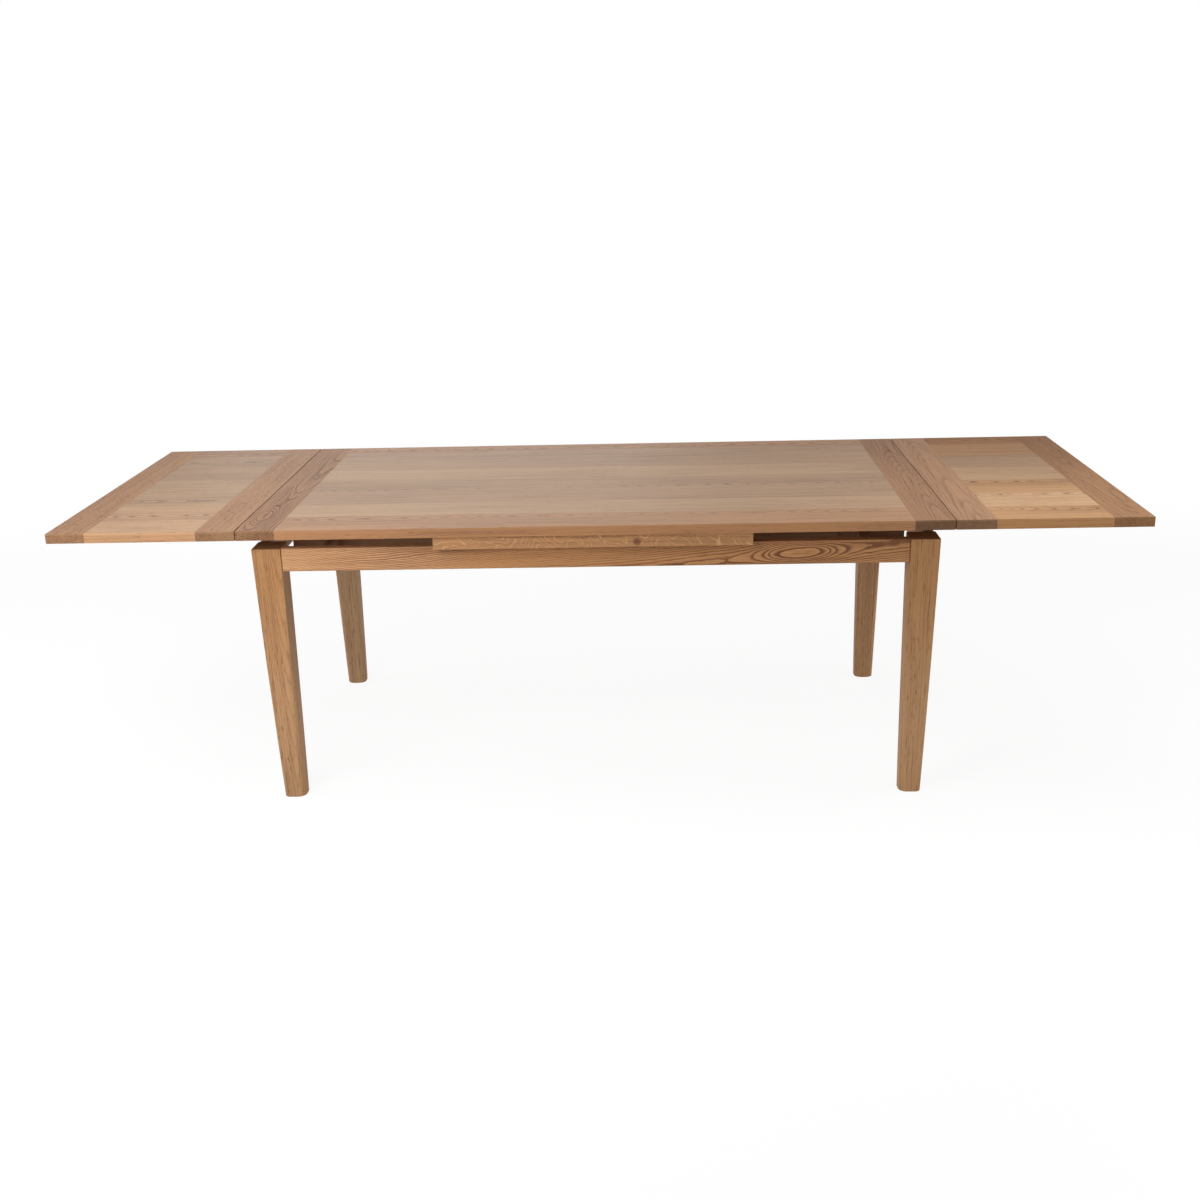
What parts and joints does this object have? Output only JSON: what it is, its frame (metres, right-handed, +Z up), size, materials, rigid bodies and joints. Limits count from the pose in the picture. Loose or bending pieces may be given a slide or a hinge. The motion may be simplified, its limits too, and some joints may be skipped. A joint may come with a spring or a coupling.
{
  "type": "draw leaf table",
  "caption": "Oak draw leaf dining table on tapered legs: a loose main top over a fixed centre board, with end leaves that slide out on sloping bearers.",
  "frame": {"origin": "on the floor under the middle of the table", "axes": "+X along the table towards the right leaf, +Y from the front to the back, +Z up"},
  "size_m": [2.771, 1, 0.76],
  "materials": {
    "oak_main_panel": "matt oil, long grain",
    "oak_leaf_panel": "matt oil, long grain",
    "oak_end_board": "matt oil, grain across the table",
    "oak_frame": "matt oil",
    "oak_inner": "plain planed oak"
  },
  "bodies": {
    "frame": {"front_left_leg": "oak_frame", "front_right_leg": "oak_frame", "back_left_leg": "oak_frame", "back_right_leg": "oak_frame", "front_apron": "oak_frame", "back_apron": "oak_frame", "left_end_rail": "oak_inner", "right_end_rail": "oak_inner", "left_cross_rail": "oak_inner", "right_cross_rail": "oak_inner", "centre_board": "oak_frame"},
    "main_top": {"main_top_left_end_board": "oak_end_board", "main_top_right_end_board": "oak_end_board", "main_top_board_1": "oak_main_panel", "main_top_board_2": "oak_main_panel", "main_top_board_3": "oak_main_panel", "main_top_board_4": "oak_main_panel", "main_top_board_5": "oak_main_panel", "main_top_board_6": "oak_main_panel", "main_top_board_7": "oak_main_panel", "main_top_board_8": "oak_main_panel", "top_locating_pegs": "oak_inner"},
    "left_leaf": {"left_leaf_outer_end_board": "oak_end_board", "left_leaf_inner_end_board": "oak_end_board", "left_leaf_board_1": "oak_leaf_panel", "left_leaf_board_2": "oak_leaf_panel", "left_leaf_board_3": "oak_leaf_panel", "left_leaf_board_4": "oak_leaf_panel", "left_leaf_board_5": "oak_leaf_panel", "left_leaf_board_6": "oak_leaf_panel", "left_leaf_board_7": "oak_leaf_panel", "left_leaf_front_bearer": "oak_inner", "left_leaf_back_bearer": "oak_inner", "left_leaf_stop_pegs": "oak_inner"},
    "right_leaf": {"right_leaf_outer_end_board": "oak_end_board", "right_leaf_inner_end_board": "oak_end_board", "right_leaf_board_1": "oak_leaf_panel", "right_leaf_board_2": "oak_leaf_panel", "right_leaf_board_3": "oak_leaf_panel", "right_leaf_board_4": "oak_leaf_panel", "right_leaf_board_5": "oak_leaf_panel", "right_leaf_board_6": "oak_leaf_panel", "right_leaf_board_7": "oak_leaf_panel", "right_leaf_front_bearer": "oak_inner", "right_leaf_back_bearer": "oak_inner", "right_leaf_stop_pegs": "oak_inner"}
  },
  "joints": [
    {"name": "top_lift", "type": "slide", "parent": "frame", "child": "main_top", "axis": [0, 0, 1], "range_m": [0, 0.04]},
    {"name": "left_leaf_draw", "type": "slide", "parent": "frame", "child": "left_leaf", "axis": [-0.9986, 0, 0.0535], "range_m": [-0.002, 0.04]},
    {"name": "right_leaf_draw", "type": "slide", "parent": "frame", "child": "right_leaf", "axis": [0.9986, 0, 0.0535], "range_m": [-0.002, 0.04]}
  ]
}
